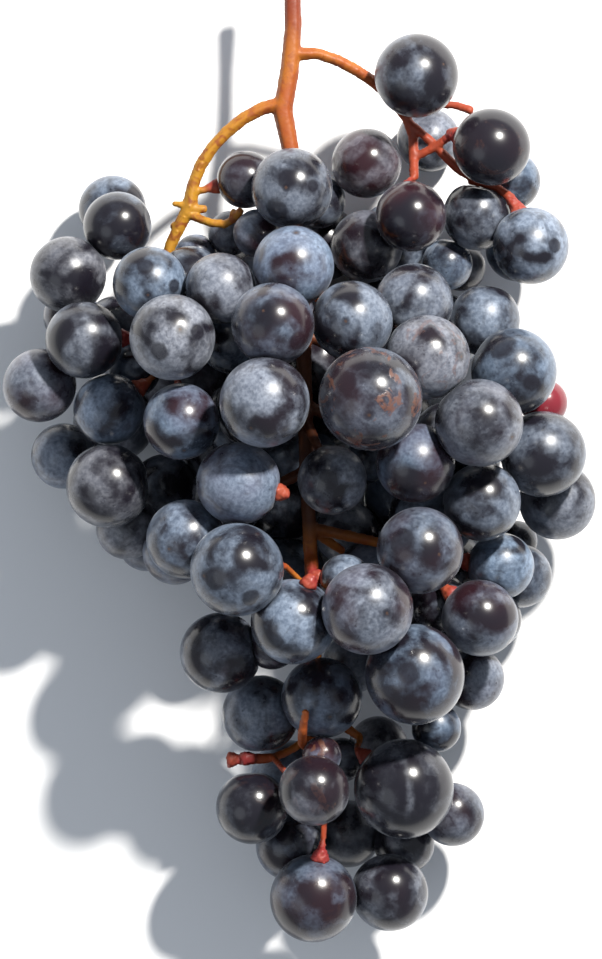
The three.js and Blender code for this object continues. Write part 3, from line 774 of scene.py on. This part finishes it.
# Patterns of the wood: scales for each metre, the two ends of each soft edge, and how much each does
woodForm = {
    "broadScale": 130,
    "streakScale": 420,
    "fineScale": 1400,
    "baseEdge": (0.4, 0.6),
    "goldEdge": (0.45, 0.65),
    "streakEdge": (0.5, 0.7),
    "cupEdge": (0.42, 0.58),
    "fleckEdge": (0.55, 0.75),
    "streakShare": 0.5,
    "cupShare": 0.9,
    "paintedShadeShare": 0.85,
    "fleckShare": 0.5,
    "roughness": (0.3, 0.7, 0.42, 0.6),
    "bumpStrength": 0.35,
    "bumpDepth": 0.12 * mm,
}
woodColours = {
    "rust": (0.25, 0.054, 0.009, 1),
    "orange": (0.32, 0.1, 0.012, 1),
    "gold": (0.34, 0.16, 0.014, 1),
    "ochre": (0.24, 0.085, 0.01, 1),
    "coral": (0.25, 0.04, 0.016, 1),
    "brown": (0.16, 0.028, 0.01, 1),
    "redStreak": (0.16, 0.03, 0.014, 1),
    "redCup": (0.22, 0.022, 0.024, 1),
    "pinkCup": (0.26, 0.045, 0.026, 1),
    # The dark brown of the painted shade on the stem's deep part
    "shade": (0.05, 0.017, 0.01, 1),
    "fleck": (0.16, 0.05, 0.02, 1),
}


def makeWood():
    board = Board("green wood")
    form, colours = woodForm, woodColours
    place = board.add("ShaderNodeTexCoord", output="Object")
    brown, yellow, coral = board.split(board.attribute("stemTone", "Color"))
    cup = board.attribute("stemTone", "Alpha")
    # Painted shade carried from the stem, where it runs deep among the berries
    inside = board.attribute("stemPaintedShade", "Fac")
    broad = board.noise(place, form["broadScale"], 2, 0.5)
    fine = board.noise(place, form["fineScale"], 3, 0.6)
    streak = board.noise(place, form["streakScale"], 2, 0.6, 0.6)
    base = board.mix(broad.ramp(*form["baseEdge"]), colours["rust"], colours["orange"])
    gold = board.mix(streak.ramp(*form["goldEdge"]), colours["gold"], colours["ochre"])
    colour = board.mix(yellow, base, gold)
    colour = board.mix(coral, colour, colours["coral"])
    colour = board.mix(brown, colour, colours["brown"])
    streaked = streak.ramp(*form["streakEdge"]) * form["streakShare"]
    colour = board.mix(streaked, colour, colours["redStreak"])
    cupColour = board.mix(broad.ramp(*form["cupEdge"]), colours["redCup"], colours["pinkCup"])
    colour = board.mix(cup * form["cupShare"], colour, cupColour)
    # Painted shade: the deep part of the stem is darkened towards dark brown, the cups left out
    colour = board.mix(inside * (1 - cup) * form["paintedShadeShare"], colour, colours["shade"])
    colour = board.mix(fine.ramp(*form["fleckEdge"]) * form["fleckShare"], colour, colours["fleck"])
    return board.finish({
        "Base Color": colour,
        "Roughness": fine.ramp(*form["roughness"]),
        "Specular IOR Level": 0.3,
        "Normal": board.bump(fine, form["bumpStrength"], form["bumpDepth"]),
    })


stem = buildStem()
stem.data.materials.append(makeWood())
print("fine stem made, triangles:", len(stem.data.polygons))


def makePlain(name, colour, roughness):
    return Board(name).finish({"Base Color": colour, "Roughness": roughness})


ground = {"size": 3, "drop": 0.05 * mm, "colour": (0.86, 0.86, 0.86, 1), "roughness": 0.9}
floorMesh = bpy.data.meshes.new("floor")
floorShape = bmesh.new()
bmesh.ops.create_grid(floorShape, x_segments=1, y_segments=1, size=ground["size"])
bmesh.ops.translate(floorShape, verts=floorShape.verts, vec=(0, 0, -ground["drop"]))
floorShape.to_mesh(floorMesh)
floorShape.free()
floor = bpy.data.objects.new("floor", floorMesh)
bpy.context.scene.collection.objects.link(floor)
floor.data.materials.append(makePlain("pale floor", ground["colour"], ground["roughness"]))

# The photographed side looks up; the camera stands straight above it, far off
shot = {
    "centre": (0.06 * mm, -7.63 * mm),
    "frameHeight": 191.8 * mm,
    "focusHeight": 35 * mm,
    "distance": 2.5,
    "sensor": 36,
    "near": 0.05,
    "far": 20,
}
camera = bpy.data.cameras.new("camera")
camera.sensor_width = shot["sensor"]
camera.lens = shot["sensor"] * (shot["distance"] - shot["focusHeight"]) / shot["frameHeight"]
camera.clip_start = shot["near"]
camera.clip_end = shot["far"]
viewer = bpy.data.objects.new("camera", camera)
viewer.location = (*shot["centre"], shot["distance"])
bpy.context.scene.collection.objects.link(viewer)
bpy.context.scene.camera = viewer

lamps = [
    {
        "name": "key",
        "from": (0.37, 0.56, 0.73),
        "distance": 1.1,
        "size": 0.08,
        "power": 30,
        "colour": (1, 0.97, 0.92),
    },
    {
        "name": "fill",
        "from": (-0.6, -0.3, 0.7),
        "distance": 1.4,
        "size": 0.9,
        "power": 2,
        "colour": (0.85, 0.92, 1),
    },
]
for lamp in lamps:
    light = bpy.data.lights.new(lamp["name"], "AREA")
    light.shape = "DISK"
    light.size = lamp["size"]
    light.energy = lamp["power"]
    light.color = lamp["colour"]
    holder = bpy.data.objects.new(lamp["name"], light)
    direction = np.array(lamp["from"]) / np.linalg.norm(lamp["from"])
    holder.location = direction * lamp["distance"]
    holder.rotation_mode = "QUATERNION"
    holder.rotation_quaternion = holder.location.to_track_quat("Z", "Y")
    bpy.context.scene.collection.objects.link(holder)

surroundings = {"colour": (0.8, 0.88, 1, 1), "strength": 0.42}
world = bpy.data.worlds.new("studio")
world.use_nodes = True
background = world.node_tree.nodes["Background"]
background.inputs["Color"].default_value = surroundings["colour"]
background.inputs["Strength"].default_value = surroundings["strength"]
bpy.context.scene.world = world
bpy.context.scene.view_settings.view_transform = "Standard"
print("floor, camera and lights set")
